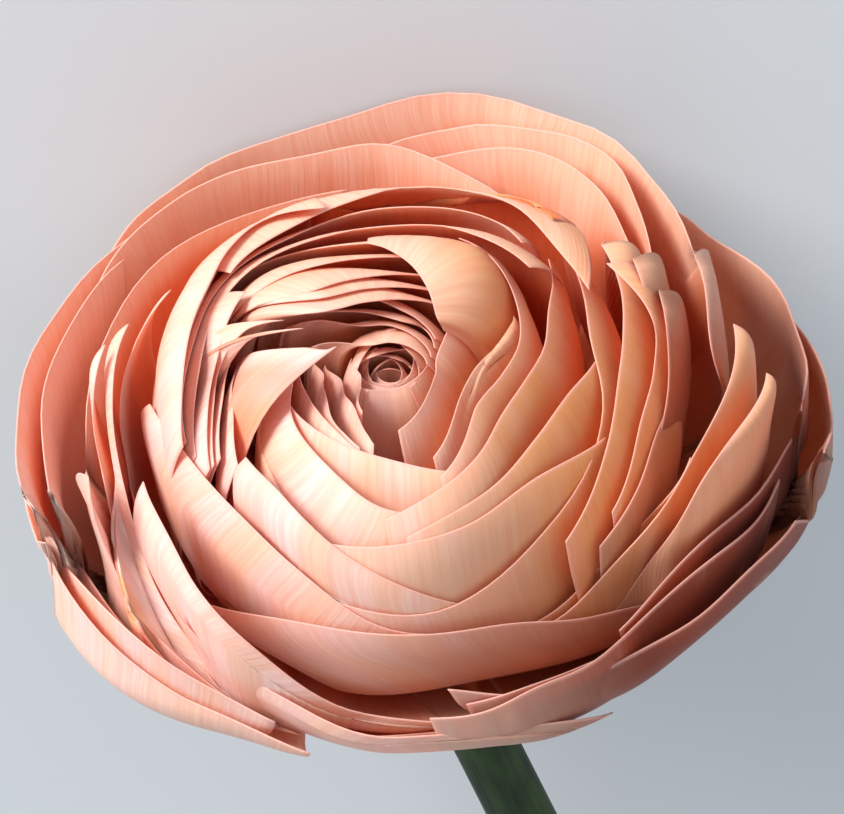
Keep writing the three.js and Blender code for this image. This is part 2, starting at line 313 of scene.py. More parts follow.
# Petals from the heart outwards. The span is in degrees round the eye, and the reach is the rim's
# distance from it in mm, at even steps of the span. Left and right go on from the rim's ends
# along the petal's sides, in pairs of degrees and mm.
# Belly and open are spread along the rim: an exact petal keeps its bellies, and the others move
# outside those before them. Open is 0 for a closing petal, 1 for one that stands up. Ruffle,
# gold and the brown of age and painted shade are shares of the usual.
petalRows = [
    # small tips to the left and front of the eye
    {"span": (170, 250), "reach": [3.5, 3, 3.5, 5, 9.5]},
    {"span": (185, 260), "reach": [7, 5.5, 6, 7.5, 9.5, 15]},
    {"span": (180, 255), "reach": [8, 7, 8, 9.5, 12.5, 15.5]},
    {"span": (175, 255), "reach": [8.5, 9.5, 10.5, 12.5, 16]},
    # rolled bands behind the eye
    {"span": (350, 530), "reach": [4, 3.5, 3.5, 4, 8]},
    {"span": (360, 520), "reach": [4.5, 4.5, 5, 6, 11]},
    {"span": (370, 520), "reach": [5, 5.5, 5.5, 6.5, 8.5, 13]},
    {"span": (380, 500), "reach": [5.5, 6, 7, 9.5, 16]},
    {"span": (400, 520), "reach": [8, 7.5, 7.5, 8.5, 13]},
    {"span": (395, 515), "reach": [9.5, 9, 9, 10, 14.5]},
    {"span": (405, 520), "reach": [11, 10.5, 10.5, 11.5, 15.5]},
    {"span": (425, 530), "reach": [12.5, 13, 14.5, 17]},
    {"span": (415, 510), "reach": [15, 15, 16.5, 18.5]},
    {"span": (380, 450), "reach": [6.5, 7, 9, 12, 15]},
    # the right and the front of the heart
    {"span": (270, 410), "reach": [13, 9, 6.5, 5.5, 5, 6, 9, 13.5]},
    {"span": (280, 360), "reach": [17.5, 12, 10, 10.5, 14], "right": [(355, 16)]},
    {"span": (210, 290), "reach": [12.5, 14, 15.5, 17.5, 21]},
    {"span": (280, 415), "reach": [20, 14, 13, 13.5, 14, 15, 16.5]},
    {"span": (183, 285), "reach": [9, 11, 14.5, 18, 22.5, 24], "left": [(184, 12), (185, 15)]},
    # narrow bands to the left of the heart
    {"span": (150, 220), "reach": [5.5, 7, 13.5, 16.5, 18.5, 22]},
    {"span": (150, 215), "reach": [9, 13, 16, 18.5, 22.5]},
    {"span": (150, 215), "reach": [11, 14.5, 17, 19.5, 23.5]},
    {"span": (145, 215), "reach": [16, 16.5, 17.5, 20, 24]},
    # the ball, by turns at the front and the back
    {"span": (265, 385), "reach": [23.5, 20.5, 16.5, 15.5, 16, 17, 20.5]},
    {"span": (385, 570), "reach": [17.5, 17, 18, 17.5, 17.5, 18, 19.5, 24]},
    {"span": (270, 345), "reach": [25.5, 23.5, 21, 20, 21.5]},
    {"span": (395, 565), "reach": [19, 20.5, 20.5, 19, 19, 20, 24]},
    {"span": (245, 320), "reach": [26, 26, 26, 24.5, 25.5]},
    {"span": (460, 565), "reach": [26, 23.5, 20.5, 20, 21.5, 24]},
    {"span": (220, 280), "reach": [21, 22.5, 25.5, 29, 33], "left": [(221, 23), (231, 27)]},
    # the outside of the ball
    {"span": (100, 205), "reach": [23, 24.5, 22.5, 20.5, 20, 20.5, 22, 24.5],
     "belly": [24.5, 24, 23.5, 23.5, 24.5, 26.5], "open": 0.4, "exact": True},
    {"span": (250, 400), "reach": [30.5, 32.5, 29, 24, 20.5, 21.5, 24]},
    {"span": (300, 388), "reach": [31, 26.5, 24, 24, 25.5, 27.5],
     "belly": [31.5, 30, 27.5, 27, 27.5, 28], "open": [0, 0, 0.2, 0.5, 0.8], "exact": True,
     "ruffle": 0.3},
    {"span": (370, 500), "reach": [22, 22, 23.5, 25, 23, 20, 19], "left": [(380, 24), (395, 26.5)]},
    {"span": (190, 285), "reach": [25, 24.5, 26, 29, 33.5, 36],
     "left": [(193, 26.5), (210, 29), (240, 34.5)]},
    {"span": (310, 380), "reach": [31, 27.5, 27, 27.5, 26], "belly": [32, 30, 28.5, 28.5, 28],
     "open": [0, 0.1, 0.4, 0.7, 0.7], "exact": True, "ruffle": 0.4},
    {"span": (305, 340), "reach": [33, 31, 29, 28.5]},
    # golden blades that stand at the right front
    {"span": (270, 330), "reach": [37, 36, 34, 32.5], "belly": [30, 30, 31.5, 33.5], "open": 0.6,
     "exact": True, "gold": 1.8, "ageAndShade": 0.2},
    {"span": (270, 365), "reach": [38, 36.5, 33.5, 33.5, 36], "belly": [30, 31, 33.5, 34.5, 36],
     "open": 0.6, "exact": True, "gold": 1.8, "ageAndShade": 0.2},
    {"span": (285, 355), "reach": [39.5, 38, 35.5, 35.5, 37.5], "belly": [31, 32, 36, 37, 37.5],
     "open": 0.6, "exact": True, "gold": 1.8, "ageAndShade": 0.2},
    # bands outside the ball, at the front and the left
    {"span": (235, 310), "reach": [34, 33.5, 34.5, 36.5, 41],
     "left": [(242, 36), (252, 38), (262, 40.5)], "belly": [31, 31, 31.5, 33]},
    {"span": (150, 250), "reach": [24.5, 26.5, 30, 35.5, 44], "belly": [25, 26.5, 29, 35, 38],
     "open": 0.4, "exact": True},
    {"span": (205, 280), "reach": [29, 31.5, 36.5, 41, 43.5], "right": [(275, 45)],
     "belly": [32.5, 33, 34.5, 35.5, 36.5]},
    {"span": (165, 250), "reach": [29.5, 31, 34, 38.5, 43.5], "belly": [30, 31, 33.5, 36.5, 38],
     "open": 0.6, "exact": True, "ruffle": 0.4},
    {"span": (95, 250), "reach": [26, 29, 28.5, 31, 33.5, 38, 43.5],
     "belly": [28.5, 29.5, 30.5, 33, 35.5, 37.5, 38.5], "open": [1, 1, 1, 0.9, 0.8, 0.6], "exact": True,
     "ruffle": 0.4},
    {"span": (195, 285), "reach": [33, 36.5, 41, 43.5, 45.5], "belly": [35.5, 36.5, 37, 37.5],
     "exact": True},
    # guards at the back and the right
    {"span": (50, 150), "reach": [24, 30.5, 40, 41.5, 37.5, 34], "belly": [30, 32.5, 36, 38, 38],
     "open": 1, "exact": True, "ruffle": 0.5},
    {"span": (350, 445), "reach": [27.5, 28, 30.5, 35, 38, 31],
     "belly": [28.5, 28.8, 30.5, 34.5, 36.5, 36.5], "open": [0.3, 0.8, 1, 1, 1], "exact": True,
     "ruffle": 0.5},
    {"span": (310, 450), "reach": [33, 29.5, 28.5, 29, 31, 36.5, 43, 44, 38],
     "belly": [29.5, 29.2, 29.2, 31.5, 36.5, 39, 39], "open": [0.3, 0.6, 0.9, 1, 1, 1], "exact": True,
     "ruffle": 0.4},
    {"span": (340, 500), "reach": [34, 33, 36.5, 42, 46.5, 49, 47, 42.5, 37],
     "right": [(505, 33), (506, 30)], "belly": [32, 33, 35.5, 39, 41, 41.5, 41.5, 41],
     "open": [0.4, 0.7, 1, 1, 1], "exact": True, "ruffle": 0.3},
    # guards at the left
    {"span": (140, 250), "reach": [34, 36.5, 37.5, 39.5, 43], "belly": [37, 37, 37, 38, 39], "open": 1,
     "exact": True, "ruffle": 0.3},
    {"span": (115, 250), "reach": [39, 37.5, 39, 40, 39.5, 40, 43], "belly": [40, 40, 39.5, 39.5, 39.5],
     "open": 1, "exact": True, "ruffle": 0.3},
    {"span": (165, 255), "reach": [37.5, 38.5, 40, 41, 43, 46], "belly": [41.5, 41, 41, 40.5, 40.5],
     "open": 0.8, "exact": True, "ruffle": 0.3},
    {"span": (160, 253), "reach": [27.5, 28.5, 31.5, 36.5, 45],
     "right": [(250, 45), (240, 42.5), (226, 39)], "belly": [28.5, 29.5, 32, 35.5, 37.5], "open": 0.5,
     "exact": True, "ruffle": 0.4},
    # guards at the front and the right front
    {"span": (275, 335), "reach": [41.5, 41.5, 42], "belly": [36, 37.5, 39], "ageAndShade": 1.15},
    {"span": (270, 335), "reach": [42, 41.5, 40.5, 41], "belly": [35, 36.5, 39], "ageAndShade": 1.15},
    {"span": (300, 400), "reach": [40, 39, 40, 41.5, 43, 43, 36.5], "belly": [36.5, 38.5, 40, 41, 41],
     "open": 0.6, "exact": True, "ageAndShade": 1.3},
    {"span": (322, 378), "reach": [44.5, 45, 44.5, 44, 41], "belly": [40.5, 41.5, 42.5, 42, 41.5],
     "open": 0.5, "exact": True, "ruffle": 0.3},
    {"span": (273, 330), "reach": [40, 42, 43, 43.5, 44], "left": [(275, 42), (282, 44.5)],
     "right": [(330, 46)], "belly": [37.5, 38.5, 40.5, 42.5], "exact": True, "ageAndShade": 1.1},
    {"span": (230, 292), "reach": [36, 40, 42.5, 44.5, 47],
     "left": [(237, 38.5), (246, 41.5), (257, 46)], "right": [(286, 48)], "belly": [36, 38, 39, 40],
     "exact": True},
]


class Socket:
    # one output of a node; maths on it adds Math nodes
    def __init__(self, tree, output):
        self.tree = tree
        self.output = output

    def maths(self, operation, first, second):
        node = self.tree.nodes.new("ShaderNodeMath")
        node.operation = operation
        for slot, value in zip(node.inputs, (first, second)):
            if isinstance(value, Socket):
                self.tree.links.new(value.output, slot)
            else:
                slot.default_value = value
        return Socket(self.tree, node.outputs[0])

    def __add__(self, other):
        return self.maths("ADD", self, other)

    def __radd__(self, other):
        return self.maths("ADD", other, self)

    def __sub__(self, other):
        return self.maths("SUBTRACT", self, other)

    def __rsub__(self, other):
        return self.maths("SUBTRACT", other, self)

    def __mul__(self, other):
        return self.maths("MULTIPLY", self, other)

    def __rmul__(self, other):
        return self.maths("MULTIPLY", other, self)

    def __truediv__(self, other):
        return self.maths("DIVIDE", self, other)

    def __rtruediv__(self, other):
        return self.maths("DIVIDE", other, self)


class Finish:
    # a material, and the one way to add a node to it
    def __init__(self, name):
        self.material = bpy.data.materials.new(name)
        self.material.use_nodes = True
        self.tree = self.material.node_tree
        self.tree.nodes.clear()

    def node(self, kind, settings=None, sockets=None, output=0):
        node = self.tree.nodes.new("ShaderNode" + kind)
        for name, value in (settings or {}).items():
            setattr(node, name, value)
        for name, value in (sockets or {}).items():
            slot = node.inputs[name]
            if isinstance(value, Socket):
                self.tree.links.new(value.output, slot)
            else:
                slot.default_value = (*value, 1) if slot.type == "RGBA" else value
        return Socket(self.tree, node.outputs[output]) if node.outputs else None

    def attribute(self, name):
        return self.node("Attribute", {"attribute_name": name}, output=2)

    def smooth(self, value, low, high):
        sockets = {"Value": value, "From Min": low, "From Max": high}
        return self.node("MapRange", {"interpolation_type": "SMOOTHSTEP"}, sockets)

    def mix(self, share, first, second, blend="MIX"):
        # a Mix node's colour sockets are its seventh and eighth
        settings = {"data_type": "RGBA", "blend_type": blend}
        return self.node("Mix", settings, {0: share, 6: first, 7: second}, output=2)

    def noise(self, size, shift=0.0, detail=2.0, roughness=0.5):
        # noise stretched along a petal or a stem: size in mm across it and along it
        across, along = self.attribute("across"), self.attribute("along")
        place = self.node("CombineXYZ", None, {"X": across / size[0], "Y": along / size[1], "Z": shift})
        sockets = {"Vector": place, "Scale": 1.0, "Detail": detail, "Roughness": roughness}
        return self.node("TexNoise", None, sockets)

    def surface(self, shader):
        self.node("OutputMaterial", None, {"Surface": shader})
        return self.material


# A span gives where a colour starts to show and where it is full. Those of peach and of the deep shade
# are shares of the way down to a petal's deepest colour, which is painted shade.
petalLook = {
    "cream": (0.96, 0.70, 0.52),
    # painted shade: cream near the rim deepens to peach and then deep red-orange further down, for the
    # shade and bounced light between petals
    "peach": (0.92, 0.50, 0.24),
    "peachShadeSpan": (0.0, 0.55),
    "deepShade": (0.84, 0.20, 0.06),
    "deepShadeSpan": (0.45, 1.1),
    "gold": (0.84, 0.43, 0.16),
    "goldSpan": (0.15, 0.85),
    # pale pink, partly the petals' own tint, partly painted light on the left, where the key lamp falls
    "pinkAndLight": (0.95, 0.81, 0.78),
    "pinkAndLightSpan": (0.25, 0.75),
    # brown partly of age, partly painted shade: dark on the front right, the side away from the key lamp
    "ageAndShade": (0.24, 0.045, 0.018),
    "ageAndShadeSpan": (-0.1, 0.75),
    # painted shade and glow: the red-orange of the inner faces, for their shade and the light coming
    # through them
    "innerShade": (0.82, 0.22, 0.08),
    "innerShadeShare": 0.9,
    "rim": (0.88, 0.52, 0.44),
    "rimShare": 0.6,
    "rimWidth": 0.5,  # mm
    "rimWander": 0.25,  # mm
    "veinSize": (0.55, 14.0),  # mm across a petal and along it
    "veinShift": 7.3,  # of the noise, from one petal to the next
    "veinDepth": 0.0002,  # metres
    "veinBump": 0.35,
    "stripeSpan": (0.32, 0.68),
    "stripeShare": 0.2,
    "patchSize": (5.0, 16.0),  # mm
    "patchShift": 3.1,
    "patchWeights": (0.5, 0.3, 0.3),  # how far patches move the bounds of the painted peach shade, deep shade and inner shade
    "veinWeights": (0.5, 0.4),  # how far veins move the bounds of gold and of the brown of age and painted shade
    "glow": (1.0, 0.40, 0.20),  # light that comes through a petal
    "through": 0.30,
}


def petalFinish():
    look = petalLook
    made = Finish("petal")
    number = made.attribute("number")
    veins = made.noise(look["veinSize"], number * look["veinShift"], detail=3.0, roughness=0.6)
    patches = made.noise(look["patchSize"], number * look["patchShift"])
    shadeShare, gold, pinkAndLight, ageAndShade, innerShade = (
        made.attribute(name) for name in ("deepShade", "gold", "pinkAndLight", "ageAndShade", "innerShade"))
    spread = patches - 0.5
    forPeachShade, forDeepShade, forInnerShade = look["patchWeights"]
    forGold, forAgeAndShade = look["veinWeights"]
    # painted shade: further down from the rim, cream turns peach and then deep red-orange
    peachShadeMask = made.smooth(shadeShare + spread * forPeachShade, *look["peachShadeSpan"])
    deepShadeMask = made.smooth(shadeShare + spread * forDeepShade, *look["deepShadeSpan"])
    goldMask = gold * made.smooth(patches + veins * forGold, *look["goldSpan"])
    # partly the petals' own pink, partly painted light on the lit left side
    pinkAndLightMask = pinkAndLight * made.smooth(patches, *look["pinkAndLightSpan"])
    # brown partly of age, partly painted shade on the front right, away from the key lamp
    ageAndShadeMask = ageAndShade * made.smooth(patches + veins * forAgeAndShade, *look["ageAndShadeSpan"])
    # painted shade and glow on the inner faces below the rim
    innerShadeMask = made.smooth(innerShade + spread * forInnerShade, 0.0, 1.0) * look["innerShadeShare"]
    colour = made.mix(peachShadeMask, look["cream"], look["peach"])
    colour = made.mix(deepShadeMask, colour, look["deepShade"])
    colour = made.mix(goldMask, colour, look["gold"])
    colour = made.mix(pinkAndLightMask, colour, look["pinkAndLight"])
    colour = made.mix(ageAndShadeMask, colour, look["ageAndShade"])
    colour = made.mix(innerShadeMask, colour, look["innerShade"])
    stripes = 1 - made.smooth(veins, *look["stripeSpan"])
    colour = made.mix(look["stripeShare"] * stripes, colour, look["deepShade"], "MULTIPLY")
    fromRim = made.attribute("edge") + (veins - 0.5) * look["rimWander"]
    rim = 1 - made.smooth(fromRim, 0.0, look["rimWidth"])
    colour = made.mix(rim * look["rimShare"], colour, look["rim"])
    bump = made.node("Bump", None, {
        "Strength": look["veinBump"],
        "Distance": look["veinDepth"],
        "Height": veins,
    })
    skin = made.node("BsdfPrincipled", None, {
        "Base Color": colour,
        "Roughness": 0.5 + 0.12 * veins,
        "Normal": bump,
        "Specular IOR Level": 0.35,
        "Sheen Weight": 0.12,
        "Sheen Roughness": 0.45,
    })
    glow = made.node("BsdfTranslucent", None, {"Color": look["glow"], "Normal": bump})
    return made.surface(made.node("MixShader", None, {0: look["through"], 1: skin, 2: glow}))


stemLook = {
    "dark": (0.004, 0.010, 0.003),
    "green": (0.008, 0.024, 0.005),
    "greenSpan": (0.3, 0.7),
    "pale": (0.07, 0.13, 0.03),
    "paleSpan": (0.45, 0.95),
    "ribSize": (0.7, 18.0),  # mm
    "ribDepth": 0.0003,  # metres
    "ribBump": 0.5,
    "ribWeight": 0.3,  # how far ribs move the bounds of the pale blotches
    "blotchSize": (4.0, 9.0),  # mm
}


def stemFinish(name, paleness):
    look = stemLook
    made = Finish(name)
    ribs = made.noise(look["ribSize"], detail=3.0)
    blotches = made.noise(look["blotchSize"])
    colour = made.mix(made.smooth(ribs, *look["greenSpan"]), look["dark"], look["green"])
    paleMask = made.smooth(blotches + ribs * look["ribWeight"], *look["paleSpan"]) * paleness
    colour = made.mix(paleMask, colour, look["pale"])
    bump = made.node("Bump", None, {
        "Strength": look["ribBump"],
        "Distance": look["ribDepth"],
        "Height": ribs,
    })
    return made.surface(made.node("BsdfPrincipled", None, {
        "Base Color": colour,
        "Roughness": 0.5 + 0.2 * ribs,
        "Normal": bump,
        "Specular IOR Level": 0.25,
    }))


edgeBulge = 0.8  # of a thin sheet's half thickness, for its rounded edge


def arc(points, axis):
    # lengths along a grid of points
    steps = np.linalg.norm(np.diff(points, axis=axis), axis=-1)
    start = np.zeros_like(steps[:1] if axis == 0 else steps[:, :1])
    return np.cumsum(np.concatenate([start, steps], axis=axis), axis=axis)


def closedSheet(middle, thickness):
    # both faces of a thin sheet and the rounded edge between them, and each point's own place
    # in the grid
    normal = np.cross(np.gradient(middle, axis=1), np.gradient(middle, axis=0))
    normal = normal / np.maximum(np.linalg.norm(normal, axis=-1, keepdims=True), 1e-9)
    rows, columns = middle.shape[:2]
    count = rows * columns
    at = np.arange(count).reshape(rows, columns)
    loop = np.concatenate([at[0, :-1], at[:-1, -1], at[-1, :0:-1], at[:0:-1, 0]])
    inward = np.concatenate([at[1, :-1], at[:-1, -2], at[-2, :0:-1], at[:0:-1, 1]])
    flat, half = middle.reshape(-1, 3), (normal * thickness[..., None] / 2).reshape(-1, 3)
    away = flat[loop] - flat[inward]
    away /= np.maximum(np.linalg.norm(away, axis=-1, keepdims=True), 1e-9)
    edge = flat[loop] + away * np.linalg.norm(half[loop], axis=-1, keepdims=True) * edgeBulge
    points = np.concatenate([flat + half, flat - half, edge])
    quads = np.stack([at[:-1, :-1], at[:-1, 1:], at[1:, 1:], at[1:, :-1]], -1).reshape(-1, 4)
    ring = 2 * count + np.arange(len(loop))
    after, ringAfter = np.roll(loop, -1), np.roll(ring, -1)
    faces = np.concatenate([
        quads,
        quads[:, ::-1] + count,
        np.stack([loop, ring, ringAfter, after], -1),
        np.stack([ring, loop + count, after + count, ringAfter], -1),
    ])
    return points, faces, np.concatenate([np.arange(count), np.arange(count), loop])


def meshPiece(name, points, faces, smooth, values, finish):
    # an object in metres; smooth says which faces are, and values are kept for the finish
    mesh = bpy.data.meshes.new(name)
    mesh.from_pydata(points.tolist(), [], faces)
    for key, numbers in values.items():
        layer = mesh.attributes.new(key, "FLOAT", "POINT")
        layer.data.foreach_set("value", np.asarray(numbers, np.float32))
    mesh.polygons.foreach_set("use_smooth", smooth)
    mesh.materials.append(finish)
    piece = bpy.data.objects.new(name, mesh)
    bpy.context.scene.collection.objects.link(piece)
    return piece


def sheetPiece(name, sheets, finish):
    # one object from several closed sheets
    points = np.concatenate([sheet[0] for sheet in sheets])
    starts = np.cumsum([0] + [len(sheet[0]) for sheet in sheets])
    faces = np.concatenate([sheet[1] + start for sheet, start in zip(sheets, starts)]).tolist()
    values = {key: np.concatenate([sheet[2][key] for sheet in sheets]) for key in sheets[0][2]}
    return meshPiece(name, points, faces, [True] * len(faces), values, finish)


petalSheet = {
    "columns": 44,
    "rows": 30,
    "sideCrowding": 0.55,  # how far the columns crowd towards a petal's sides
    "rimCrowding": 1.7,  # and the rows towards its rim
    "gap": 0.5,  # mm between the middles of neighbouring petals
    "thickness": ((0, 0.26), (14, 0.32), (30, 0.36), (36, 0.45), (42, 0.6)),  # mm, by belly radius
    "edgeShare": 0.35,  # of the thickness that is left at a rim
    "thinning": 2.5,  # mm over which it thins
    "thinningPower": 0.7,  # below 1 it thins mostly near the rim
    "sway": 0.7,  # mm that the bowls wander, alike for neighbours
    "swayBelly": 30.0,  # smaller bowls wander less, down to the least share of it
    "leastSway": 0.05,
    "swayLength": (9.0, 9.0, 8.0),  # mm
    "ruffle": ((0, 0.05), (20, 0.12), (31, 0.3), (36, 0.6), (42, 1.1)),  # mm at the rim
    "ruffleDepth": 5.0,  # mm below the rim over which it fades
    "outward": 0.5,  # of the ruffle, and its waves: size, length in mm and shift from petal to petal
    "outwardWaves": ((1, 5.1, 2.4), (0.6, 2.7, 1.3)),
    "upward": 0.35,
    "upwardWaves": ((0.5, 1.9, 4.1), (0.5, 3.7, 1)),
    "innerShade": ((0, 5), (26, 4), (31, 5), (36, 22), (42, 45)),  # mm over which the inner face reddens with painted shade and glow
    "innerShadeStart": 0.3,  # mm below the rim
    "innerShadeBelly": (15, 25),  # from none to all of it
    "shadeDepth": ((0, 10), (20, 17), (31, 28), (42, 44)),  # mm below the rim where the painted shade is deepest
}
petalTints = {
    "goldAt": (325, 45),  # azimuth and spread
    "goldBelly": (25, 9),  # the belly that is most golden, and mm round it over which gold fades
    "goldMost": 1.4,  # at that belly, before all above 1 is cut off
    # brown partly of age, partly painted shade, centred on the front right, away from the key lamp
    "ageAndShadeAt": (322, 34),
    "ageAndShadeBelly": (29.5, 33.5),  # from none to all of it
    "paleTurn": 0.6,  # radians round the eye, opposite the side that is pinkest and carries painted light
}


def wander(points):
    # a soft drift of the whole bloom, so that no bowl is truly round; its numbers are arbitrary
    x, y, z = np.moveaxis(points / petalSheet["swayLength"], -1, 0)
    return np.stack([
        np.sin(1.1 * y + 0.7 * z + 0.4) + 0.5 * np.sin(2.3 * z + 1.7 * x + 2.0),
        np.sin(0.9 * z + 1.2 * x + 1.9) + 0.5 * np.sin(2.1 * x - 1.6 * y + 0.7),
        0.5 * np.sin(1.3 * x + 0.8 * y + 3.1) + 0.3 * np.sin(2.2 * y + 1.9 * x + 1.2),
    ], -1)


def waves(kinds, place, number):
    return sum(size * np.sin(place / length + number * shift) for size, length, shift in kinds)


def rising(value, start, end):
    return np.clip((value - start) / (end - start), 0, 1)


def closeTo(azimuth, middle, spread):
    # 1 at one azimuth, less on both sides of it
    return np.exp(-nearestTurn(azimuth - middle) ** 2 / 2 / spread ** 2)


def petalSolid(petal, number):
    # a petal's points in mm, its faces, and what its finish needs to know at each point
    sheet, tints = petalSheet, petalTints
    even = np.linspace(0, 1, sheet["columns"] + 1)
    crowded = 0.5 - 0.5 * np.cos(np.pi * even)
    u = sheet["sideCrowding"] * crowded + (1 - sheet["sideCrowding"]) * even
    v = 1 - (1 - np.linspace(0, 1, sheet["rows"] + 1)) ** sheet["rimCrowding"]
    azimuth, belly, climb, opening = petalPlaces(petal, u, v)
    middle = onBowl(azimuth, belly, climb, opening)
    below = arc(middle, 0)[-1:] - arc(middle, 0)
    fromLeft = arc(middle, 1)
    across = np.broadcast_to(fromLeft[-1:], below.shape)
    edge = np.minimum(below, np.minimum(fromLeft, fromLeft[:, -1:] - fromLeft))
    ruffle = through(sheet["ruffle"], belly) * np.exp(-below / sheet["ruffleDepth"])
    ruffle = ruffle * petal.get("ruffle", 1)
    outward = np.stack([np.cos(np.radians(azimuth)), np.sin(np.radians(azimuth)), 0 * azimuth], -1)
    wave = ruffle * waves(sheet["outwardWaves"], across, number) * sheet["outward"]
    rise = ruffle * waves(sheet["upwardWaves"], across, number) * sheet["upward"]
    middle = middle + outward * wave[..., None] + np.array([0, 0, 1]) * rise[..., None]
    swayShare = np.clip(belly / sheet["swayBelly"], sheet["leastSway"], 1)
    middle = middle + wander(middle) * sheet["sway"] * swayShare[..., None]
    inward = np.clip(edge / sheet["thinning"], 0, 1) ** sheet["thinningPower"]
    kept = sheet["edgeShare"] + (1 - sheet["edgeShare"]) * inward
    thickness = through(sheet["thickness"], belly) * kept
    points, faces, source = closedSheet(middle, thickness)
    count = below.size
    firstIsOutside = np.sum((points[:count] - middle.reshape(-1, 3)) * outward.reshape(-1, 3)) > 0
    inside = np.full(len(points), 0.5)
    inside[:count] = 0 if firstIsOutside else 1
    inside[count:2 * count] = 1 if firstIsOutside else 0
    size = np.mean(petal["bellies"])
    goldBelly, goldFading = tints["goldBelly"]
    golden = np.clip(tints["goldMost"] - abs(size - goldBelly) / goldFading, 0, 1)
    goldness = closeTo(azimuth, *tints["goldAt"]) * golden
    ageAndShadeShare = closeTo(azimuth, *tints["ageAndShadeAt"]) * rising(size, *tints["ageAndShadeBelly"])
    # pale pink partly of the petals' own, partly painted light, most on the left where the key lamp falls
    pinkAndLightShare = np.clip(-np.cos(np.radians(azimuth) - tints["paleTurn"]), 0, 1)
    # painted shade and glow: the inner face reddens below the rim, only on the larger bowls
    innerShade = np.clip((below - sheet["innerShadeStart"]) / through(sheet["innerShade"], belly), 0, 1)
    values = {
        "across": across,
        "along": below,
        "edge": edge,
        # how far down from the rim, towards the deepest painted shade
        "deepShade": below / through(sheet["shadeDepth"], belly),
        "gold": petal.get("gold", 1) * goldness,
        "pinkAndLight": pinkAndLightShare,
        "ageAndShade": petal.get("ageAndShade", 1) * ageAndShadeShare,
        "number": np.full(below.shape, float(number)),
    }
    values = {key: value.reshape(-1)[source] for key, value in values.items()}
    values["innerShade"] = inside * innerShade.reshape(-1)[source] * rising(size, *sheet["innerShadeBelly"])
    return points, faces, values


heartPetals = {
    "count": 13,
    "turn": 137.5,  # degrees from each to the next
    "spread": 165,
    "firstReach": 0.9,  # mm from the eye
    "nextReach": 0.2,  # mm more for each
    "tips": 0.5,  # how much further out a petal's two ends are, as a share of its reach
    "gap": 0.2,
}


def heartRows():
    heart = heartPetals
    rows = []
    for k in range(heart["count"]):
        start = heart["turn"] * k
        reach = heart["firstReach"] + heart["nextReach"] * k
        reaches = [reach * (1 + heart["tips"] * (2 * share - 1) ** 2) for share in (0, 0.33, 0.67, 1)]
        rows.append({"span": (start, start + heart["spread"]), "reach": reaches, "gap": heart["gap"]})
    return rows


# the bloom's pieces, each with the belly radius that its petals stay under
petalBands = {
    "heart_petals": 9,
    "inner_petals": 19,
    "middle_petals": 26,
    "outer_petals": 30.5,
    "loose_petals": 35,
    "guard_petals": 39.5,
    "back_petals": 99,
}
petalMaterial = petalFinish()
allPetals = heartRows() + petalRows
stackPetals(allPetals, petalSheet["gap"])
grouped = {name: [] for name in petalBands}
for number, petal in enumerate(allPetals):
    points, faces, values = petalSolid(petal, number)
    band = next(name for name, most in petalBands.items() if np.mean(petal["bellies"]) < most)
    grouped[band].append((toTable(points), faces, values))
for name, sheets in grouped.items():
    piece = sheetPiece(name, sheets, petalMaterial)
    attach(piece, "root")
    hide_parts("bloom")
print("petals made:", len(allPetals))

# In mm, in the bloom's frame.
calyxForm = {
    "top": -0.75,  # the cup's, so below the bloom's base
    "sepals": 5,
    "seat": 3.2,  # a sepal runs from here to its reach, both from the bloom's axis
    "reach": 16.6,
    "length": 14.0,  # its own, for its finish and its thinning
    "halfWidth": 4.1,
    "narrowest": 0.15,  # half of its tip's width
    "bladeDrop": 0.45,  # its blade below the cup's top
    "rootDrop": 4.2,  # its root below its blade
    "hollow": 0.5,  # how far the middle of its root is sunk
    "ripple": 0.10,
    "thickness": 0.7,
    "edgeShare": 0.4,  # of its thickness that is left at its edge
    "thinning": 1.5,
    "columns": 18,
    "rows": 26,
    "waist": 6.3,  # the cup's radius at its top
    "depth": 5.0,
    "lip": 0.5,  # how far below its top its first ring lies
    "taper": 2.4,  # how much narrower it is at its foot
    "taperPower": 1.6,
    "cupRings": 14,
    "cupSides": 48,
    "cupRibs": 0.015,  # of its radius
}


def sepalSolid(number):
    form = calyxForm
    u = np.linspace(-1, 1, form["columns"] + 1)[None]
    v = np.linspace(0, 1, form["rows"] + 1)[:, None]
    turn = 2 * math.pi * number / form["sepals"]
    reach = form["seat"] + (form["reach"] - form["seat"]) * v
    # widest near its middle, blunt at its tip, and bent down to the stem at its root
    halfWidth = form["halfWidth"] * (1 - v ** 2.6) ** 0.75 * (0.72 + 0.5 * v) + form["narrowest"]
    bend = np.maximum(0, 1 - v * 2.2) ** 2
    height = form["top"] - form["bladeDrop"] - form["rootDrop"] * bend
    height = height - form["hollow"] * (1 - u ** 2) * (1 - v) + form["ripple"] * np.sin(v * 9 + number)
    side = u * halfWidth
    place = np.stack([
        reach * math.cos(turn) - side * math.sin(turn),
        reach * math.sin(turn) + side * math.cos(turn),
        height + 0 * u,
    ], -1)
    edge = np.minimum((1 - v) * form["length"], (1 - abs(u)) * halfWidth)
    kept = form["edgeShare"] + (1 - form["edgeShare"]) * np.clip(edge / form["thinning"], 0, 1)
    points, faces, source = closedSheet(place, form["thickness"] * kept)
    # each sepal takes its own part of the finish's noise
    values = {"across": side + 40 * number, "along": v * form["length"] + 0 * u}
    return toTable(points), faces, {key: value.reshape(-1)[source] for key, value in values.items()}


tubeForm = {
    "ribs": 9,
    "finishRadius": 3.7,  # mm, from which the finish takes its way round a tube
}


